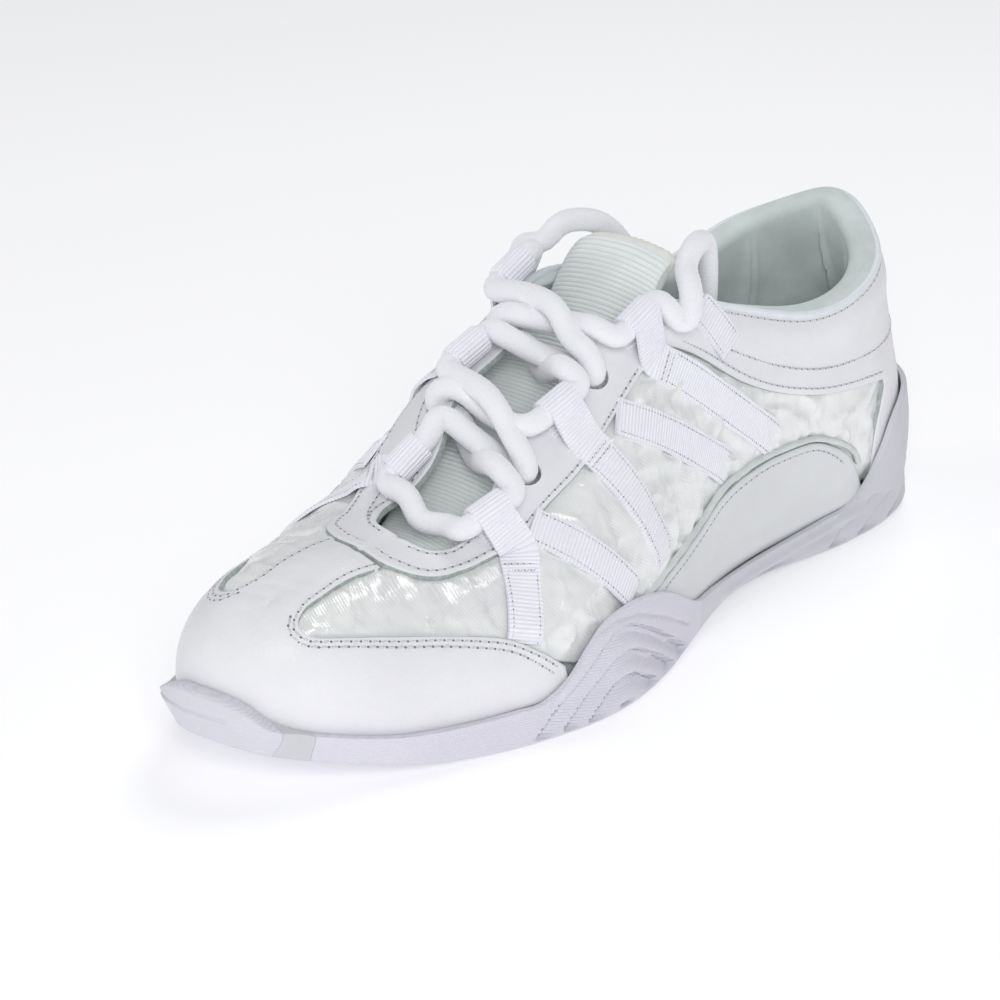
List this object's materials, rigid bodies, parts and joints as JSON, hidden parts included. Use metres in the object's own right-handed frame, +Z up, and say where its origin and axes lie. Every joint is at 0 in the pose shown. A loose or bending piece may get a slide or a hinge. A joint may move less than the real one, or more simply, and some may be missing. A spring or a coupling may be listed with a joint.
{
  "type": "cheer shoe",
  "caption": "Low-cut white cheerleading and gymnastics shoe for the right foot, with satin and leather panels, ribbon lace loops, threaded lace and a cupped rubber sole.",
  "frame": {"origin": "centre of the bounding box at floor level", "axes": "+Z up, -Y towards the toe, +Y towards the heel, +X towards the inner (medial) side of this right shoe"},
  "size_m": [0.093, 0.2542, 0.0947],
  "materials": {
    "rubber": "moulded, finely ribbed, matt",
    "plain_rubber": "smooth, matt",
    "shank": "smooth, matt",
    "foam": "closed-cell foam",
    "board": "fibre board, raw",
    "lining": "grey-green mesh",
    "sockliner": "fabric-faced foam",
    "satin": "pearly satin twill, wrinkled",
    "leather": "smooth white synthetic leather",
    "piping": "corded edge",
    "ribbon": "grosgrain ribbon",
    "knit": "ribbed knit",
    "binding": "woven tape",
    "lace": "tubular braid",
    "aglet": "clear film"
  },
  "bodies": {
    "shoe": {"aglet_lateral": "aglet", "aglet_medial": "aglet", "ankle_lining_lateral": "lining", "ankle_lining_medial": "lining", "arch_panel_lateral": "leather", "arch_panel_medial": "leather", "arch_piping_lateral": "piping", "arch_piping_medial": "piping", "collar_leather": "leather", "collar_roll": "lining", "eyestay": "leather", "heel_counter": "board", "heel_lining": "lining", "insole_board": "board", "lace": "lace", "midsole": "foam", "outsole_forefoot": "rubber", "outsole_heel": "rubber", "outsole_shank": "shank", "outsole_toe_bumper": "rubber", "outsole_toe_segment": "plain_rubber", "quarter_lining_lateral": "lining", "quarter_lining_medial": "lining", "ribbon_front_lateral": "ribbon", "ribbon_front_medial": "ribbon", "ribbon_middle_lateral": "ribbon", "ribbon_middle_medial": "ribbon", "ribbon_rear_lateral": "ribbon", "ribbon_rear_medial": "ribbon", "ribbon_support_front_lateral": "ribbon", "ribbon_support_front_medial": "ribbon", "ribbon_support_rear_lateral": "ribbon", "ribbon_support_rear_medial": "ribbon", "ribbon_tab_lateral": "ribbon", "ribbon_tab_medial": "ribbon", "satin_panel_lateral": "satin", "satin_panel_medial": "satin", "sockliner": "sockliner", "toe_leather": "leather", "toe_puff": "board", "vamp_lining": "lining"},
    "tongue": {"tongue_binding": "binding", "tongue_knit": "knit", "tongue_pad": "lining"}
  },
  "joints": [
    {"name": "tongue_hinge", "type": "hinge", "parent": "shoe", "child": "tongue", "pos_m": [0, -0.06, 0.032], "axis": [1, 0, 0], "range_deg": [-5, 0]}
  ]
}
